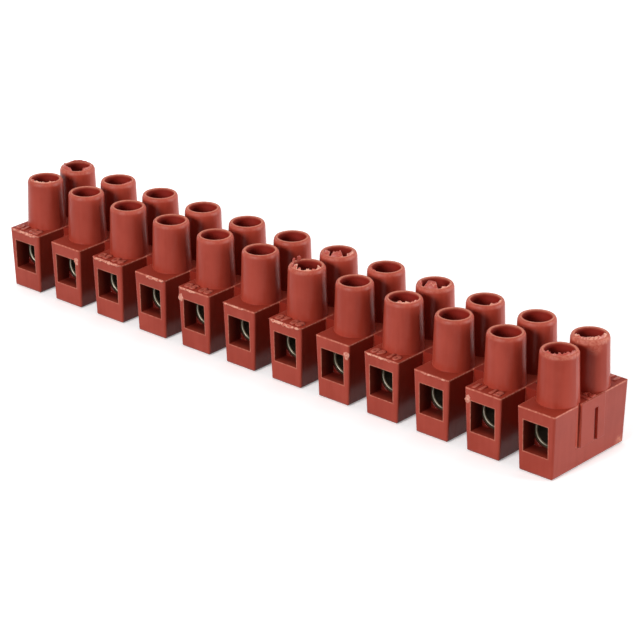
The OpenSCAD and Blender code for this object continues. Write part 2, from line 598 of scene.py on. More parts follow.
@dataclass(frozen=True)
class MouldedPlastic:
    """Satin brick-red moulding, faintly clouded, with painted shade on its level tops and webs and
    deep in its bores and front wire mouths, and painted light in the end grooves; paler on its
    rubbed places and rims, with painted highlights along the towers' rims and shoulders, and with
    wear and painted highlights along the top edges, the wire mouths and the raised numbers.

    Matt is added to the roughness of level tops, webs and bores, and soft to that of the rims'
    shoulders; sleek is taken off that of the pole sides.
    """

    strip: Strip
    base: Colour = (0.358, 0.050, 0.030)
    deep: Colour = (0.311, 0.038, 0.021)
    # top: painted shade, the level tops darker where the light falls low.
    top: Colour = (0.268, 0.026, 0.011)
    # web: painted shade on the webs deep between the poles.
    web: Colour = (0.205, 0.015, 0.007)
    # bore: painted shade, darker down inside the tower bores.
    bore: Colour = (0.215, 0.011, 0.005)
    # mouth: painted shade, darker deeper inside the front wire mouths.
    mouth: Colour = (0.10, 0.007, 0.004)
    # groove: painted light, paler to lighten the shade in the end grooves.
    groove: Colour = (0.53, 0.102, 0.064)
    # pale: wear on the rubbed places and rims, and painted highlights on the rims, shoulders and edges.
    pale: Colour = (0.58, 0.20, 0.135)
    cloud: Cloud = Cloud(7.0 * MM, 3, 0.55)
    streak: Cloud = Cloud(0.9 * MM, stretch=(1.0, 1.0, 0.07))
    speck: Cloud = Cloud(0.5 * MM, 2, 0.6)
    grain: Cloud = Cloud(0.16 * MM)
    streak_share: float = 0.28
    drift: Span = (0.38, 0.62)
    sharp: Span = (0.35, 0.65)
    broad: Span = (0.3, 0.7)
    grain_share: float = 0.35
    relief: float = 0.012 * MM
    edge: float = 0.14 * MM
    gloss: float = 0.21
    roughness: float = 0.31
    cloud_rough: float = 0.10
    worn_rough: float = 0.2
    matt: float = 0.30
    soft: float = 0.15
    sleek: float = 0.13
    top_wear: Wear = Wear(0.25, 0.55)
    number_wear: float = 0.3
    shoulder_wear: Wear = Wear(0.08, 0.12)
    rim_wear: Wear = Wear(0.65, 0.30)
    mouth_wear: Wear = Wear(0.25, 0.45)
    rub_wear: Wear = Wear(0.3, 0.7)
    worn_rim_wear: Wear = Wear(0.25, 0.75)

    def worn(self, paint: Paint, on: Surface) -> Wire:
        """How far each point is paled: by wear on the rubbed places and rims, by painted highlights on
        the towers' rims and shoulders, and by both on the top edges, the wire mouths and the raised
        numbers.

        Args:
            paint: The shader.
            on: Masks of the surfaces.

        Returns:
            Share of the pale colour.
        """
        speck = paint.noise(self.speck)
        sharp, broad = speck.ramp(*self.sharp), speck.ramp(*self.broad)
        shares = [
            # Top edges, wire mouths and numbers: wear and painted highlight; shoulders and rim lines:
            # painted highlight; rubs and rubbed rims: wear.
            on.top_line * self.top_wear.on(sharp),
            on.raised_tops * self.number_wear,
            on.shoulders * (1.0 - on.bores) * self.shoulder_wear.on(sharp),
            on.rim_line * self.rim_wear.on(sharp),
            on.mouth_line * self.mouth_wear.on(sharp),
            *(rub.share(paint) * self.rub_wear.on(sharp) for rub in RUBS),
            *(rim.share(paint, self.strip) * self.worn_rim_wear.on(broad) for rim in WORN_RIMS),
        ]
        return reduce(Wire.at_least, shares)

    def make(self) -> bpy.types.Material:
        """Builds the finish.

        Returns:
            The material.
        """
        paint = Paint("moulded_red_plastic")
        on = Surface(paint)
        cloud, streak = paint.noise(self.cloud), paint.noise(self.streak)
        worn = self.worn(paint, on)
        drift = cloud * (1.0 - self.streak_share) + streak * self.streak_share
        colour = paint.blend(drift.ramp(*self.drift), self.deep, self.base)
        # Painted shade on the level tops, webs, bores and mouths, painted light in the grooves, then
        # the pale of wear and painted highlights.
        for mask, tint in (
            (on.level_tops, self.top),
            (on.webs, self.web),
            (on.bores, self.bore),
            (on.mouths, self.mouth),
            (on.grooves, self.groove),
            (worn, self.pale),
        ):
            colour = paint.blend(mask, colour, tint)
        matt = reduce(Wire.at_least, (on.level_tops, on.webs, on.bores, on.rim_tops)) * self.matt
        matt = matt + on.shoulders * self.soft - on.sides * self.sleek
        height = paint.noise(self.grain) * self.grain_share + cloud
        return paint.finish(
            Base_Color=colour,
            Roughness=self.roughness + (cloud - 0.5) * self.cloud_rough + worn * self.worn_rough + matt,
            Normal=paint.bump(height, self.relief, paint.soft_edges(self.edge)),
            IOR=PLASTIC_IOR,
            Specular_IOR_Level=self.gloss,
        )


@dataclass(frozen=True)
class TornPlastic:
    """Torn or squeezed-out plastic, bleached in patches where it is thin.

    The patches start where their pattern passes bare, less lower for a full share, and are fully
    pale past fade.
    """

    name: str
    base: Colour
    pale: Colour
    share: float
    bare: float = 0.62
    lower: float = 0.3
    fade: float = 0.2
    patch: Cloud = Cloud(0.45 * MM, 3, 0.6)
    grain: Cloud = Cloud(0.12 * MM, 2, 0.6)
    relief: float = 0.02 * MM
    roughness: float = 0.42
    patch_rough: float = 0.2

    def make(self) -> bpy.types.Material:
        """Builds the finish.

        Returns:
            The material.
        """
        paint = Paint(self.name)
        patch = paint.noise(self.patch)
        start = self.bare - self.lower * self.share
        return paint.finish(
            Base_Color=paint.blend(patch.ramp(start, start + self.fade), self.base, self.pale),
            Roughness=self.roughness + patch * self.patch_rough,
            Normal=paint.bump(paint.noise(self.grain), self.relief),
            IOR=PLASTIC_IOR,
        )


@dataclass(frozen=True)
class PlatedSleeve:
    """Turned brass with a dull grey-green plating in random stains, painted dark all over as shade and
    dark reflection but on the chamfer round its bore, which keeps the plating's colour as a painted
    highlight.
    """

    bright: Colour = (0.36, 0.33, 0.27)
    dull: Colour = (0.20, 0.19, 0.14)
    # dark: painted shade and dark reflection on the sleeve, all but the chamfer.
    dark: Colour = (0.075, 0.054, 0.035)
    stain: Cloud = Cloud(1.6 * MM, 3, 0.6)
    stained: Span = (0.38, 0.66)
    marks: Cloud = Cloud(0.10 * MM, 1, 0.5, (0.15, 1.0, 0.15))
    relief: float = 0.002 * MM
    roughness: float = 0.34
    stain_rough: float = 0.12
    dark_rough: float = 0.16

    @staticmethod
    def bright_edge(paint: Paint) -> Wire:
        """Mask of the chamfer round each end of the bore."""
        out = paint.across().diagonal(paint.axis("Z") - SIZES.axis_z) - SIZES.sleeve_r
        return out.past(0.0, 0.08, 0.12) * out.past(SIZES.chamfer, 0.02, -0.02)

    def make(self) -> bpy.types.Material:
        """Builds the finish.

        Returns:
            The material.
        """
        paint = Paint("plated_sleeve")
        stain, edge = paint.noise(self.stain), self.bright_edge(paint)
        plating = paint.blend(stain.ramp(*self.stained), self.bright, self.dull)
        return paint.finish(
            # The chamfer keeps the plating's colour as a painted highlight; the rest is painted dark.
            Base_Color=paint.blend(edge, self.dark, plating),
            Metallic=1.0,
            Roughness=self.roughness + stain * self.stain_rough + (1.0 - edge) * self.dark_rough,
            Normal=paint.bump(paint.noise(self.marks), self.relief),
        )


@dataclass(frozen=True)
class ZincSteel:
    """Zinc-plated steel with a faint blue-grey cast and fine wear."""

    bright: Colour = (0.38, 0.39, 0.41)
    dull: Colour = (0.20, 0.20, 0.20)
    stain: Cloud = Cloud(0.9 * MM, 4, 0.6)
    stained: Span = (0.42, 0.70)
    grain: Cloud = Cloud(0.08 * MM, 1)
    relief: float = 0.004 * MM
    roughness: float = 0.28
    stain_rough: float = 0.18

    def make(self) -> bpy.types.Material:
        """Builds the finish.

        Returns:
            The material.
        """
        paint = Paint("zinc_steel")
        stain = paint.noise(self.stain)
        return paint.finish(
            Base_Color=paint.blend(stain.ramp(*self.stained), self.bright, self.dull),
            Metallic=1.0,
            Roughness=self.roughness + stain * self.stain_rough,
            Normal=paint.bump(paint.noise(self.grain), self.relief),
        )


@dataclass(frozen=True)
class StudioPaper:
    """White paper under the strip, which throws little light back on it."""

    white: Colour = (0.95, 0.95, 0.95)
    bounce: Colour = (0.10, 0.10, 0.10)
    black: Colour = (0.0, 0.0, 0.0)
    glow: float = 0.32
    roughness: float = 0.9

    def make(self) -> bpy.types.Material:
        """Builds the finish.

        Returns:
            The material.
        """
        paint = Paint("studio_paper")
        seen = paint.seen()
        return paint.finish(
            Base_Color=paint.blend(seen, self.bounce, self.white),
            Emission_Color=paint.blend(seen, self.black, self.white),
            Emission_Strength=self.glow,
            Roughness=self.roughness,
        )


TORN = TornPlastic("torn_red_plastic", (0.36, 0.045, 0.026), (0.58, 0.21, 0.145), 0.35)
BLEACHED = TornPlastic("bleached_red_plastic", (0.42, 0.075, 0.045), (0.66, 0.30, 0.21), 0.75)
SCARRED = TornPlastic("scarred_red_plastic", (0.50, 0.155, 0.105), (0.66, 0.29, 0.215), 0.8)


class Finishes:
    """All materials of the strip and its stage, made once."""

    def __init__(self, strip: Strip) -> None:
        """Builds each finish.

        Args:
            strip: Where the rubbed rims of the plastic are.
        """
        self.plastic = MouldedPlastic(strip).make()
        self.torn, self.bleached, self.scar = (kind.make() for kind in (TORN, BLEACHED, SCARRED))
        self.sleeve = PlatedSleeve().make()
        self.steel = ZincSteel().make()
        self.paper = StudioPaper().make()


def dress(pieces: Iterable[bpy.types.Object], material: bpy.types.Material) -> None:
    """Gives pieces their finish.

    Args:
        pieces: The pieces.
        material: The finish.
    """
    for piece in pieces:
        piece.data.materials.clear()
        piece.data.materials.append(material)


def plain_object(name: str, data: bpy.types.ID) -> bpy.types.Object:
    """Puts a mesh, text, lamp or camera into the scene.

    Args:
        name: Name of the object.
        data: What it shows; a piece's mesh is already in place.

    Returns:
        The object, at the origin.
    """
    data.name = name
    piece = bpy.data.objects.new(name, data)
    bpy.context.scene.collection.objects.link(piece)
    return piece


def settle(worker: bpy.types.Object, name: str) -> bpy.types.Object:
    """Turns an object with modifiers, or a text, into a plain piece.

    Args:
        worker: The object to evaluate; it is removed.
        name: Name of the piece.

    Returns:
        The piece, a plain mesh with nothing left to evaluate.
    """
    view = bpy.context.evaluated_depsgraph_get()
    mesh = bpy.data.meshes.new_from_object(worker.evaluated_get(view), depsgraph=view)
    mesh.transform(worker.matrix_world)
    bpy.data.objects.remove(worker)
    return plain_object(name, mesh)


def drawn(work: bmesh.types.BMesh, name: str) -> bpy.types.Mesh:
    """Turns a mesh under construction into one that an object can show.

    Args:
        work: The mesh under construction; it is freed.
        name: Name of the new mesh.

    Returns:
        The new mesh.
    """
    mesh = bpy.data.meshes.new(name)
    work.to_mesh(mesh)
    work.free()
    return mesh


def points_object(
    name: str, points: Sequence[Point], edges: Sequence[tuple[int, int]] = ()
) -> bpy.types.Object:
    """Puts bare points into the scene, for a node tree to work on.

    Args:
        name: Name of the object.
        points: The points.
        edges: Pairs of them to join.

    Returns:
        The object.
    """
    mesh = bpy.data.meshes.new(name)
    mesh.from_pydata([Vector(p) for p in points], edges, [])
    return plain_object(name, mesh)


class NodeTool(Graph):
    """A Geometry Nodes tree with named inputs, used through a modifier."""

    noise_layers: float = 3.0
    noise_fine: float = 0.6

    def __init__(self, name: str) -> None:
        """Starts the tree with its geometry in and out.

        Args:
            name: Name of the tree.
        """
        super().__init__(bpy.data.node_groups.new(name, "GeometryNodeTree"))
        self.keys: dict[str, str] = {}
        self._socket_in("Geometry", "NodeSocketGeometry")
        self.tree.interface.new_socket("Geometry", in_out="OUTPUT", socket_type="NodeSocketGeometry")

    def _socket_in(self, name: str, kind: str) -> None:
        """Adds a named input and notes its identifier."""
        socket = self.tree.interface.new_socket(name, in_out="INPUT", socket_type=kind)
        self.keys[name] = socket.identifier

    def asks(self, numbers: Iterable[str], counts: Iterable[str] = ()) -> dict[str, Wire]:
        """Names the inputs.

        Args:
            numbers: Names of the inputs that are lengths or other numbers.
            counts: Names of the whole-number inputs.

        Returns:
            All inputs by name, with the geometry and the material.
        """
        for name in numbers:
            self._socket_in(name, "NodeSocketFloat")
        for name in counts:
            self._socket_in(name, "NodeSocketInt")
        self._socket_in("Material", "NodeSocketMaterial")
        outputs = self.node("NodeGroupInput").outputs
        return {name: Wire(self, outputs[key]) for key, name in enumerate(self.keys)}

    def joined(self, **parts: Any) -> Wire:
        """A vector from its X, Y and Z."""
        return self.wire("ShaderNodeCombineXYZ", parts)

    def ragged(self, seed: Wire, grain: Wire) -> Wire:
        """Noise at each point.

        Args:
            seed: What sets it apart from other noise.
            grain: How fine it is.

        Returns:
            Its value, about 0.5.
        """
        where = self.wire("GeometryNodeInputPosition")
        inputs = {"Vector": where, "W": seed, "Scale": grain}
        inputs |= {"Detail": self.noise_layers, "Roughness": self.noise_fine}
        return self.wire("ShaderNodeTexNoise", inputs, "Fac", noise_dimensions="4D")

    def close(self, shape: Wire, material: Wire) -> None:
        """Ends the tree with real geometry.

        Args:
            shape: The geometry.
            material: Its material.
        """
        real = self.wire("GeometryNodeRealizeInstances", {0: shape})
        dressed = self.wire("GeometryNodeSetMaterial", {"Geometry": real, "Material": material})
        self.node("NodeGroupOutput", {0: dressed})

    def on(self, worker: bpy.types.Object, **values: Any) -> None:
        """Adds the tree to an object as a modifier.

        Args:
            worker: The object.
            values: The inputs, by name.
        """
        modifier = worker.modifiers.new("shape", "NODES")
        modifier.node_group = self.tree
        for name, value in values.items():
            modifier[self.keys[name]] = value


class TornLip(NodeTool):
    """Thin ragged sheet that stands along a path, as flash and torn rims do.

    The sheet's section has its Y axis pointing down and a height of 1.  Tilt turns the sheet away
    from upright, to the right of the path, and Lean bends its edge over to the left.
    """

    seed_step: float = 7.31
    full_tooth: float = 0.72
    run_in: float = 0.14
    root: Point = (0.0, 0.35, 0.0)
    bend: float = -0.6
    bend_lean: float = -0.15
    section_steps: int = 5

    def __init__(self) -> None:
        """Builds the tree."""
        super().__init__("torn_lip")
        given = self.asks(("Height", "Lean", "Tilt", "Grain", "Cut", "Floor", "Step"), ("Seed",))
        path = self.wire("GeometryNodeMeshToCurve", {0: given["Geometry"]})
        inputs = {"Curve": path, "Length": given["Step"]}
        path = self.wire("GeometryNodeResampleCurve", inputs, mode="LENGTH")
        path = self.wire("GeometryNodeSetCurveNormal", {"Curve": path}, mode="Z_UP")
        path = self.wire("GeometryNodeSetCurveTilt", {"Curve": path, "Tilt": given["Tilt"]})

        noise = self.ragged(given["Seed"] * self.seed_step, given["Grain"])
        teeth = noise.ramp(given["Cut"], self.full_tooth)
        along = self.wire("GeometryNodeSplineParameter", output="Factor")
        fade = along.ramp(0.0, self.run_in) * along.ramp(1.0, 1.0 - self.run_in)
        floor, lean = given["Floor"], given["Lean"]
        height = given["Height"] * (floor + (1.0 - floor) * teeth) * fade

        inputs = {"Resolution": self.section_steps, "Start": self.root}
        inputs["Middle"] = self.joined(X=lean * self.bend_lean, Y=self.bend)
        inputs["End"] = self.joined(X=lean * -1.0, Y=-1.0)
        section = self.wire("GeometryNodeCurveQuadraticBezier", inputs)
        inputs = {"Curve": path, "Profile Curve": section, "Scale": height}
        self.close(self.wire("GeometryNodeCurveToMesh", inputs), given["Material"])

    def grow(
        self,
        name: str,
        points: Sequence[Point],
        thickness: float,
        material: bpy.types.Material,
        **values: Any,
    ) -> bpy.types.Object:
        """Grows a lip along a path.

        Args:
            name: Name of the piece.
            points: The path.
            thickness: Thickness of the sheet.
            material: Its finish.
            values: The tree's other inputs.

        Returns:
            The piece, a plain mesh.
        """
        worker = points_object(name + "_path", points, [(k, k + 1) for k in range(len(points) - 1)])
        self.on(worker, Material=material, **values)
        wall = worker.modifiers.new("wall", "SOLIDIFY")
        wall.thickness = thickness
        wall.offset = 0.0
        return settle(worker, name)


class ScrewThread(NodeTool):
    """Ridge wound round the core of a screw, which is the geometry that comes in."""

    turn_steps: int = 20
    ridge_corners: int = 3
    thin_end: float = 0.1
    run_in: float = 0.1
    run_out: float = 0.05

    def __init__(self) -> None:
        """Builds the tree."""
        super().__init__("screw_thread")
        given = self.asks(("Pitch", "Length", "Core", "Depth", "Low"))
        inputs = {"Resolution": self.turn_steps, "Rotations": given["Length"] / given["Pitch"]}
        inputs |= {"Start Radius": given["Core"], "End Radius": given["Core"]}
        inputs["Height"] = given["Length"]
        path = self.wire("GeometryNodeCurveSpiral", inputs)
        inputs = {"Geometry": path, "Translation": self.joined(Z=given["Low"])}
        path = self.wire("GeometryNodeTransform", inputs)
        path = self.wire("GeometryNodeSetCurveNormal", {"Curve": path}, mode="Z_UP")

        inputs = {"Resolution": self.ridge_corners, "Radius": given["Depth"]}
        section = self.wire("GeometryNodeCurvePrimitiveCircle", inputs)
        along = self.wire("GeometryNodeSplineParameter", output="Factor")
        fade = along.ramp(0.0, self.run_in) * along.ramp(1.0, 1.0 - self.run_out)
        inputs = {"Curve": path, "Profile Curve": section, "Fill Caps": True}
        inputs["Scale"] = self.thin_end + (1.0 - self.thin_end) * fade
        ridge = self.wire("GeometryNodeCurveToMesh", inputs)
        whole = self.wire("GeometryNodeJoinGeometry", {0: [given["Geometry"], ridge]})
        self.close(whole, given["Material"])


class GateScar(NodeTool):
    """Low torn domes at the points that come in, where runners were broken off."""

    mark: str = "from_middle"
    seed_step: float = 3.17
    ball_levels: int = 4

    def __init__(self) -> None:
        """Builds the tree."""
        super().__init__("gate_scar")
        given = self.asks(("Width", "Height", "Depth", "Grain", "Ragged"), ("Seed",))
        ball = self.wire("GeometryNodeMeshIcoSphere", {"Radius": 1.0, "Subdivisions": self.ball_levels})
        size = self.joined(X=given["Width"] * 0.5, Y=given["Depth"], Z=given["Height"] * 0.5)
        dome = self.wire("GeometryNodeTransform", {"Geometry": ball, "Scale": size})
        where = self.wire("GeometryNodeInputPosition")
        marked = self.wire(
            "GeometryNodeStoreNamedAttribute",
            {"Geometry": dome, "Name": self.mark, "Value": where},
            data_type="FLOAT_VECTOR",
            domain="POINT",
        )
        inputs = {"Points": given["Geometry"], "Instance": marked}
        spread = self.wire("GeometryNodeInstanceOnPoints", inputs)
        real = self.wire("GeometryNodeRealizeInstances", {0: spread})

        noise = self.ragged(given["Seed"] * self.seed_step, given["Grain"])
        inputs = {"Name": self.mark}
        out = self.wire("GeometryNodeInputNamedAttribute", inputs, data_type="FLOAT_VECTOR")
        inputs = {0: out, "Scale": (noise - 0.5) * given["Ragged"]}
        push = self.wire("ShaderNodeVectorMath", inputs, operation="SCALE")
        torn = self.wire("GeometryNodeSetPosition", {"Geometry": real, "Offset": push})
        bare = self.wire("GeometryNodeRemoveAttribute", {"Geometry": torn, "Name": self.mark})
        self.close(bare, given["Material"])


@dataclass
class Strip:
    """Where things are on the strip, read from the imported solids.

    Turns on a rim are in degrees, from the side that the photograph sees best.
    """

    nodes: dict[str, bpy.types.Object]
    boxes: dict[str, tuple[Vector, Vector]] = field(init=False)
    view_turn: float = -48.5

    def __post_init__(self) -> None:
        """Measures every solid once."""
        self.boxes = {name: tuple(Vector(corner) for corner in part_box(name)) for name in self.nodes}

    @property
    def poles(self) -> int:
        """Number of poles."""
        return sum(name.startswith("sleeve_") for name in self.nodes)

    def pole_x(self, pole: int) -> float:
        """X of a pole's middle."""
        low, high = self.boxes[f"sleeve_{pole:02d}"]
        return 0.5 * (low.x + high.x)

    def tower(self, pole: int, side: Side) -> Vector:
        """Middle of a tower's rim."""
        low, high = self.boxes[f"screw_{side.word}_{pole:02d}"]
        return Vector((0.5 * (low.x + high.x), 0.5 * (low.y + high.y), self.boxes["housing"][1].z))

    def facing(self, turn: float) -> Point:
        """Level direction of length 1 at a turn."""
        angle = math.radians(self.view_turn + turn)
        return (math.cos(angle), math.sin(angle), 0.0)

    def on_rim(self, pole: int, side: Side, radius: float, turn: float, rise: float) -> Point:
        """A point by a rim.

        Args:
            pole: The pole's number.
            side: Front or rear tower.
            radius: Distance from the tower's axis.
            turn: Turn of the point.
            rise: Height above the rim.

        Returns:
            The point.
        """
        middle = self.tower(pole, side)
        x, y, _ = self.facing(turn)
        return (middle.x + radius * x, middle.y + radius * y, middle.z + rise)


@dataclass(frozen=True)
class RimTear:
    """One torn stretch of a tower's rim, with its turns as Strip has them and TornLip's inputs."""

    pole: int
    side: Side
    start: float
    sweep: float
    height: float
    lean: float
    grain: float
    cut: float
    floor: float
    seed: int
    bleached: bool = False


RIM_TEARS: tuple[RimTear, ...] = (
    RimTear(1, Side.FRONT, -75, 125, 0.34 * MM, 0.7, 1500, 0.42, 0.25, 3, True),
    RimTear(7, Side.FRONT, -128, 17, 1.10 * MM, 0.1, 1500, 0.35, 0.60, 8),
    RimTear(7, Side.FRONT, -158, 19, 0.95 * MM, 0.1, 1500, 0.35, 0.60, 22),
    RimTear(7, Side.FRONT, -88, 20, 0.85 * MM, 0.4, 1500, 0.35, 0.60, 23),
    RimTear(7, Side.FRONT, -64, 22, 0.75 * MM, 0.6, 1500, 0.35, 0.60, 24, True),
    RimTear(7, Side.FRONT, -44, 115, 0.50 * MM, 0.7, 1500, 0.44, 0.10, 5, True),
    RimTear(9, Side.FRONT, -35, 95, 0.34 * MM, 0.8, 1300, 0.42, 0.20, 2, True),
    RimTear(12, Side.FRONT, -80, 160, 0.55 * MM, 0.75, 1700, 0.42, 0.20, 4),
    RimTear(1, Side.REAR, -115, 100, 0.70 * MM, 0.5, 330, 0.25, 0.45, 6),
    RimTear(1, Side.REAR, 20, 90, 0.60 * MM, 0.3, 330, 0.25, 0.45, 17),
    RimTear(1, Side.REAR, 110, 120, 0.35 * MM, 0.1, 600, 0.35, 0.30, 11),
    RimTear(2, Side.REAR, 15, 60, 0.25 * MM, 0.5, 900, 0.40, 0.25, 7),
    RimTear(7, Side.REAR, -80, 42, 0.60 * MM, 0.8, 900, 0.30, 0.55, 9),
    RimTear(7, Side.REAR, -32, 48, 0.95 * MM, 0.9, 900, 0.30, 0.65, 18),
    RimTear(7, Side.REAR, 30, 55, 0.45 * MM, 0.7, 900, 0.35, 0.30, 20, True),
    RimTear(8, Side.REAR, -120, 80, 0.30 * MM, 0.4, 500, 0.40, 0.40, 10),
    RimTear(9, Side.REAR, -48, 55, 1.10 * MM, 1.0, 700, 0.30, 0.70, 12),
    RimTear(9, Side.REAR, -120, 60, 0.50 * MM, 0.5, 900, 0.35, 0.30, 16),
    RimTear(9, Side.REAR, 18, 60, 0.40 * MM, 0.6, 1300, 0.40, 0.25, 19, True),
    RimTear(10, Side.REAR, 10, 70, 0.40 * MM, 0.8, 1000, 0.42, 0.20, 13, True),
    RimTear(12, Side.REAR, -85, 170, 0.55 * MM, 0.5, 800, 0.36, 0.40, 14, True),
)


@dataclass
class Rims:
    """The torn lips on the tower rims."""

    strip: Strip
    finishes: Finishes
    lip: TornLip
    thickness: float = 0.13 * MM
    sink: float = 0.02 * MM
    step: float = 0.07 * MM
    arc_steps: int = 40

    def path(self, tear: RimTear) -> list[Point]:
        """The arc that a torn stretch stands on, just outside the bore.

        Args:
            tear: The torn stretch.

        Returns:
            The arc's points.
        """
        radius = SIZES.bore_r + 0.5 * self.thickness
        turns = [tear.start + tear.sweep * k / self.arc_steps for k in range(self.arc_steps + 1)]
        return [self.strip.on_rim(tear.pole, tear.side, radius, turn, -self.sink) for turn in turns]

    def build(self) -> list[bpy.types.Object]:
        """Grows every torn stretch.

        Returns:
            The pieces.
        """
        return [
            self.lip.grow(
                f"rim_tear_{tear.side.word}_{tear.pole:02d}_{count:02d}",
                self.path(tear),
                self.thickness,
                self.finishes.bleached if tear.bleached else self.finishes.torn,
                Height=tear.height,
                Lean=tear.lean,
                Tilt=0.0,
                Grain=tear.grain,
                Cut=tear.cut,
                Floor=tear.floor,
                Step=self.step,
                Seed=tear.seed,
            )
            for count, tear in enumerate(RIM_TEARS, 1)
        ]


@dataclass(frozen=True)
class EdgeFlash:
    """Flash along part of a pole's front top edge; the places run from -1 to 1 across the pole."""

    pole: int
    start: float
    end: float
    height: float
    seed: int


EDGE_FLASH: tuple[EdgeFlash, ...] = (
    EdgeFlash(1, -0.95, 0.98, 0.55 * MM, 21),
    EdgeFlash(3, -0.98, 0.98, 0.50 * MM, 22),
    EdgeFlash(4, -0.3, 0.98, 0.50 * MM, 23),
    EdgeFlash(5, -0.95, 0.2, 0.38 * MM, 24),
    EdgeFlash(6, -0.98, 0.4, 0.28 * MM, 25),
    EdgeFlash(7, -0.99, 0.99, 0.50 * MM, 26),
    EdgeFlash(9, -0.9, 0.9, 0.30 * MM, 27),
    EdgeFlash(10, -0.6, 0.9, 0.22 * MM, 28),
)


@dataclass
class TopEdges:
    """The flash on the front top edges of the poles."""

    strip: Strip
    finishes: Finishes
    lip: TornLip
    thickness: float = 0.12 * MM
    proud: float = 0.02 * MM
    drop: float = 0.08 * MM
    path_steps: int = 20
    tilt: float = 140.0
    lean: float = 0.2
    grain: float = 1300.0
    cut: float = 0.36
    floor: float = 0.40
    step: float = 0.08 * MM

    def path(self, flash: EdgeFlash) -> list[Point]:
        """The line that the flash stands on, just off the edge.

        Args:
            flash: The flash.

        Returns:
            The line's points.
        """
        middle = self.strip.pole_x(flash.pole)
        length = flash.end - flash.start
        places = [flash.start + length * k / self.path_steps for k in range(self.path_steps + 1)]
        y, z = -SIZES.face_y - self.proud, SIZES.ledge_z - self.drop
        return [(middle + SIZES.half_top * place, y, z) for place in places]

    def build(self) -> list[bpy.types.Object]:
        """Grows the flash on each edge.

        Returns:
            The pieces.
        """
        return [
            self.lip.grow(
                f"edge_flash_{flash.pole:02d}",
                self.path(flash),
                self.thickness,
                self.finishes.bleached,
                Height=flash.height,
                Lean=self.lean,
                Tilt=math.radians(self.tilt),
                Grain=self.grain,
                Cut=self.cut,
                Floor=self.floor,
                Step=self.step,
                Seed=flash.seed,
            )
            for flash in EDGE_FLASH
        ]


@dataclass
class GateScars:
    """The torn places on the front faces where the runners were broken off.

    Each place is a pole, the distance from its middle along X, and the height.
    """

    strip: Strip
    finishes: Finishes
    places: tuple[tuple[int, float, float], ...] = (
        (2, 2.58 * MM, 8.68 * MM),
        (5, -2.92 * MM, 8.92 * MM),
        (8, 2.91 * MM, 8.75 * MM),
        (11, -2.88 * MM, 8.82 * MM),
    )
    width: float = 1.0 * MM
    height: float = 1.4 * MM
    depth: float = 0.18 * MM
    sink: float = 0.07 * MM
    grain: float = 1500.0
    ragged: float = 1.9
    seed: int = 31

    def build(self) -> list[bpy.types.Object]:
        """Raises the scars, all in one piece.

        Returns:
            The piece, in a list.
        """
        y = self.sink - SIZES.face_y
        points = [(self.strip.pole_x(pole) + x, y, z) for pole, x, z in self.places]
        worker = points_object("gate_scar_points", points)
        GateScar().on(
            worker,
            Material=self.finishes.scar,
            Width=self.width,
            Height=self.height,
            Depth=self.depth,
            Grain=self.grain,
            Ragged=self.ragged,
            Seed=self.seed,
        )
        return [settle(worker, "gate_scars")]


@dataclass
class PoleNumbers:
    """Plain raised pole numbers, two on the ledge of every second pole and one between two towers."""

    strip: Strip
    finishes: Finishes
    size: float = 2.0 * MM
    spacing: float = 1.2
    bold: float = 0.03 * MM
    raised: float = 0.03 * MM
    soft: float = 0.16 * MM
    soft_steps: int = 2
    ledge_y: float = 8.05 * MM
    middle_x: float = 2.55 * MM

    def number(self, name: str, words: str, x: float, y: float, turn: float) -> bpy.types.Object:
        """Raises the numbers of one place.

        Args:
            name: Name of the piece.
            words: The numbers.
            x: Middle of the place along X.
            y: Middle of the place along Y.
            turn: Their turn about Z in degrees.

        Returns:
            The piece.
        """
        text = bpy.data.curves.new(name, "FONT")
        text.body = words
        text.size = self.size
        text.space_character = self.spacing
        text.offset = self.bold
        text.align_x = "CENTER"
        text.align_y = "CENTER"
        text.extrude = self.raised
        text.bevel_depth = self.soft
        text.bevel_resolution = self.soft_steps
        worker = plain_object(name + "_text", text)
        place = Matrix.Translation((x, y, SIZES.ledge_z))
        worker.matrix_world = place @ Matrix.Rotation(math.radians(turn), 4, "Z")
        bpy.context.view_layer.update()
        piece = settle(worker, name)
        dress([piece], self.finishes.plastic)
        return piece

    def build(self) -> list[bpy.types.Object]:
        """Raises every number.

        Returns:
            The pieces.
        """
        last = self.strip.poles
        middle = self.strip.pole_x(last) + self.middle_x
        pieces = [self.number(f"middle_number_{last:02d}", f"{last:02d}", middle, 0.0, 90.0)]
        for pole in range(1, last, 2):
            words = f"{pole:02d} {pole + 1:02d}"
            for side, at, turn in ((Side.FRONT, pole, 0.0), (Side.REAR, pole + 1, 180.0)):
                x, y = self.strip.pole_x(at), side.value * self.ledge_y
                pieces.append(self.number(f"{side.word}_number_{at:02d}", words, x, y, turn))
        return pieces


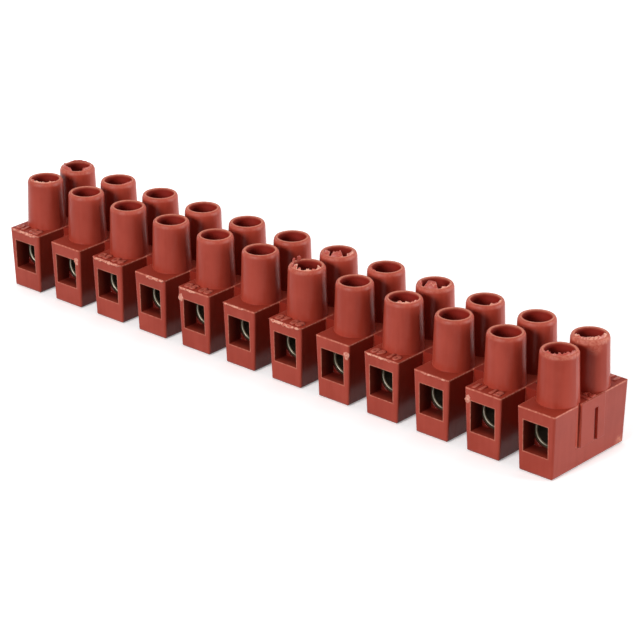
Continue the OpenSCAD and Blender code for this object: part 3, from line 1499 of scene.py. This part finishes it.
@dataclass
class ClampScrews:
    """The slotted clamp screws, with the thread that the plain solids leave out."""

    strip: Strip
    finishes: Finishes
    thread: ScrewThread
    head_h: float = 2.0 * MM
    head_round: float = 0.35 * MM
    slot_w: float = 0.8 * MM
    slot_depth: float = 1.1 * MM
    slot_reach: float = 8.0 * MM
    slot_turn: float = 47.0
    side_turn: float = 31.0
    core_r: float = 1.23 * MM
    tip_bevel: float = 0.45 * MM
    thread_depth: float = 0.22 * MM
    pitch: float = 0.5 * MM
    plain_h: float = 0.7 * MM
    steps: int = 40
    arc_steps: int = 6
    weld: float = 0.001 * MM

    def outline(self, low: Vector, high: Vector) -> list[tuple[float, float]]:
        """Half the section of the screw without its thread, from its tip to the top of its head.

        Args:
            low: Lowest corner of the plain solid.
            high: Its highest corner.

        Returns:
            Radius and height of each corner.
        """
        head_r = 0.5 * (high.x - low.x)
        seat = high.z - self.head_h
        arc = [math.radians(90.0 / self.arc_steps * k) for k in range(self.arc_steps + 1)]
        return [
            (0.0, low.z),
            (self.core_r - self.tip_bevel, low.z),
            (self.core_r, low.z + self.tip_bevel),
            (self.core_r, seat),
            (head_r, seat),
            *(
                (
                    head_r - self.head_round * (1.0 - math.cos(a)),
                    high.z - self.head_round * (1.0 - math.sin(a)),
                )
                for a in arc
            ),
            (0.0, high.z),
        ]

    def core(self, low: Vector, high: Vector) -> bpy.types.Mesh:
        """Turns the screw without its thread, about the Z axis.

        Args:
            low: Lowest corner of the plain solid.
            high: Its highest corner.

        Returns:
            The turned mesh.
        """
        turned = bmesh.new()
        corners = [turned.verts.new((r, 0.0, z)) for r, z in self.outline(low, high)]
        edges = [turned.edges.new(pair) for pair in zip(corners, corners[1:])]
        bmesh.ops.spin(
            turned,
            geom=corners + edges,
            cent=(0.0, 0.0, 0.0),
            axis=(0.0, 0.0, 1.0),
            angle=math.tau,
            steps=self.steps,
            use_duplicate=False,
        )
        bmesh.ops.remove_doubles(turned, verts=turned.verts, dist=self.weld)
        bmesh.ops.recalc_face_normals(turned, faces=turned.faces)
        return drawn(turned, "screw_core")

    def slot_cutter(self, high: Vector, turn: float) -> bpy.types.Object:
        """A bar that cuts the driver slot.

        Args:
            high: Highest corner of the plain solid.
            turn: Angle of the slot in degrees.

        Returns:
            The bar.
        """
        bar = bmesh.new()
        size = Matrix.Diagonal((self.slot_reach, self.slot_w, 2.0 * self.slot_depth, 1.0))
        place = Matrix.Translation((0.0, 0.0, high.z)) @ Matrix.Rotation(math.radians(turn), 4, "Z")
        bmesh.ops.create_cube(bar, size=1.0, matrix=place @ size)
        return plain_object("slot_cutter", drawn(bar, "slot_cutter"))

    def screw(self, pole: int, side: Side) -> bpy.types.Object:
        """Makes one screw and puts it in the place of its solid.

        Args:
            pole: The pole's number.
            side: Front or rear tower.

        Returns:
            The piece.
        """
        node = f"screw_{side.word}_{pole:02d}"
        low, high = self.strip.boxes[node]
        worker = plain_object(node + "_core", self.core(low, high))
        cutter = self.slot_cutter(high, self.slot_turn * pole + self.side_turn * side.value)
        cut = worker.modifiers.new("slot", "BOOLEAN")
        cut.object = cutter
        cut.operation = "DIFFERENCE"
        cut.solver = "EXACT"
        start = low.z + 0.5 * self.tip_bevel
        self.thread.on(
            worker,
            Material=self.finishes.steel,
            Pitch=self.pitch,
            Length=high.z - self.head_h - self.plain_h - start,
            Core=self.core_r,
            Depth=self.thread_depth,
            Low=start,
        )
        piece = settle(worker, f"threaded_{node}")
        bpy.data.objects.remove(cutter)
        piece.data.transform(Matrix.Translation((0.5 * (low.x + high.x), 0.5 * (low.y + high.y), 0.0)))
        return piece

    def build(self) -> None:
        """Makes every screw and sets it on the body that slides with it."""
        for side in Side:
            for pole in range(1, self.strip.poles + 1):
                piece = self.screw(pole, side)
                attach(piece, f"{side.word}_screw_{pole:02d}")
                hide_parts(f"screw_{side.word}_{pole:02d}")
                LOG.info("%s: %d faces", piece.name, len(piece.data.polygons))


@dataclass(frozen=True)
class Lamp:
    """A soft square lamp that faces the strip: its place and width in metres, and its watts."""

    name: str
    place: Point
    width: float
    power: float


LAMPS: tuple[Lamp, ...] = (
    Lamp("key_lamp", (0.02, -0.93, 0.38), 0.3, 9.5),
    Lamp("top_lamp", (-0.2, 0.1, 1.0), 1.0, 4.8),
    Lamp("end_lamp", (1.0, 0.60, 0.15), 0.4, 14.2),
    Lamp("far_end_lamp", (-1.05, 0.30, 0.25), 0.5, 3.2),
    Lamp("back_lamp", (0.15, 0.95, 0.45), 0.5, 2.5),
)


@dataclass
class Stage:
    """Floor, world, lamps and camera at the photograph's viewing angle."""

    finishes: Finishes
    target: Point = (6.026 * MM, -1.906 * MM, 9.136 * MM)
    azimuth: float = 41.48
    elevation: float = 23.38
    roll: float = -0.22
    distance: float = 455.5 * MM
    focal_pixels: float = 2843.9
    image_pixels: float = 640.0
    sensor: float = 36.0
    clip_start: float = 0.01
    clip_end: float = 20.0
    white: Colour = (1.0, 1.0, 1.0)
    fill: float = 0.10
    floor_half: float = 2.5
    floor_cells: int = 8
    floor_drop: float = 0.02 * MM

    def floor(self) -> None:
        """Lays the paper under the strip."""
        sheet = bmesh.new()
        cells = self.floor_cells
        bmesh.ops.create_grid(sheet, x_segments=cells, y_segments=cells, size=self.floor_half)
        mesh = drawn(sheet, "floor")
        mesh.transform(Matrix.Translation((0.0, 0.0, -self.floor_drop)))
        mesh.materials.append(self.finishes.paper)
        paper = plain_object("floor", mesh)

    def world(self) -> None:
        """Even white surroundings, which the camera, metal and glass see as plain white."""
        world = bpy.data.worlds.new("studio")
        world.use_nodes = True
        bpy.context.scene.world = world
        graph = Graph(world.node_tree)
        strength = self.fill + (1.0 - self.fill) * graph.seen()
        inputs = {"Color": rgba(self.white), "Strength": strength}
        light = graph.wire("ShaderNodeBackground", inputs)
        graph.node("ShaderNodeOutputWorld", {"Surface": light})

    def hang(self, lamp: Lamp) -> None:
        """Hangs one lamp, facing the strip.

        Args:
            lamp: The lamp.
        """
        light = bpy.data.lights.new(lamp.name, "AREA")
        light.shape = "RECTANGLE"
        light.size = light.size_y = lamp.width
        light.energy = lamp.power
        piece = plain_object(lamp.name, light)
        piece.location = lamp.place
        ahead = Vector(self.target) - Vector(lamp.place)
        piece.rotation_euler = ahead.to_track_quat("-Z", "Y").to_euler()

    def camera(self) -> None:
        """Stands the camera where the photograph was taken."""
        turn, lift, roll = (math.radians(a) for a in (self.azimuth, self.elevation, self.roll))
        level = math.cos(lift)
        back = Vector((math.sin(turn) * level, -math.cos(turn) * level, math.sin(lift)))
        right = Vector((math.cos(turn), math.sin(turn), 0.0))
        up = back.cross(right)
        rolled = right * math.cos(roll) + up * math.sin(roll)
        upright = up * math.cos(roll) - right * math.sin(roll)
        lens = bpy.data.cameras.new("camera")
        lens.sensor_width = self.sensor
        lens.lens = self.focal_pixels / self.image_pixels * self.sensor
        lens.clip_start = self.clip_start
        lens.clip_end = self.clip_end
        camera = plain_object("camera", lens)
        turned = Matrix((rolled, upright, back)).transposed().to_4x4()
        camera.matrix_world = Matrix.Translation(Vector(self.target) + self.distance * back) @ turned
        bpy.context.scene.camera = camera

    def build(self) -> None:
        """Sets the whole stage."""
        self.floor()
        self.world()
        for lamp in LAMPS:
            self.hang(lamp)
        self.camera()
        bpy.context.scene.view_settings.view_transform = "Standard"


def main() -> None:
    """Loads the frame, dresses it, adds the fine pieces and sets the stage."""
    logging.basicConfig(level=logging.INFO, format="%(name)s: %(message)s")
    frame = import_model()
    nodes = frame["nodes"]
    strip = Strip(nodes)
    finishes = Finishes(strip)
    kinds = {"housing": finishes.plastic, "sleeve_": finishes.sleeve, "screw_": finishes.steel}
    for prefix, material in kinds.items():
        chosen = [node for name, node in nodes.items() if name.startswith(prefix)]
        dress(chosen, material)
        LOG.info("%s: %d solids", material.name, len(chosen))

    ClampScrews(strip, finishes, ScrewThread()).build()
    lip = TornLip()
    moulding = Rims(strip, finishes, lip).build() + TopEdges(strip, finishes, lip).build()
    moulding += GateScars(strip, finishes).build() + PoleNumbers(strip, finishes).build()
    for piece in moulding:
        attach(piece, STRIP_BODY)
        LOG.info("%s: %d faces", piece.name, len(piece.data.polygons))

    Stage(finishes).build()


if __name__ == "__main__":
    main()
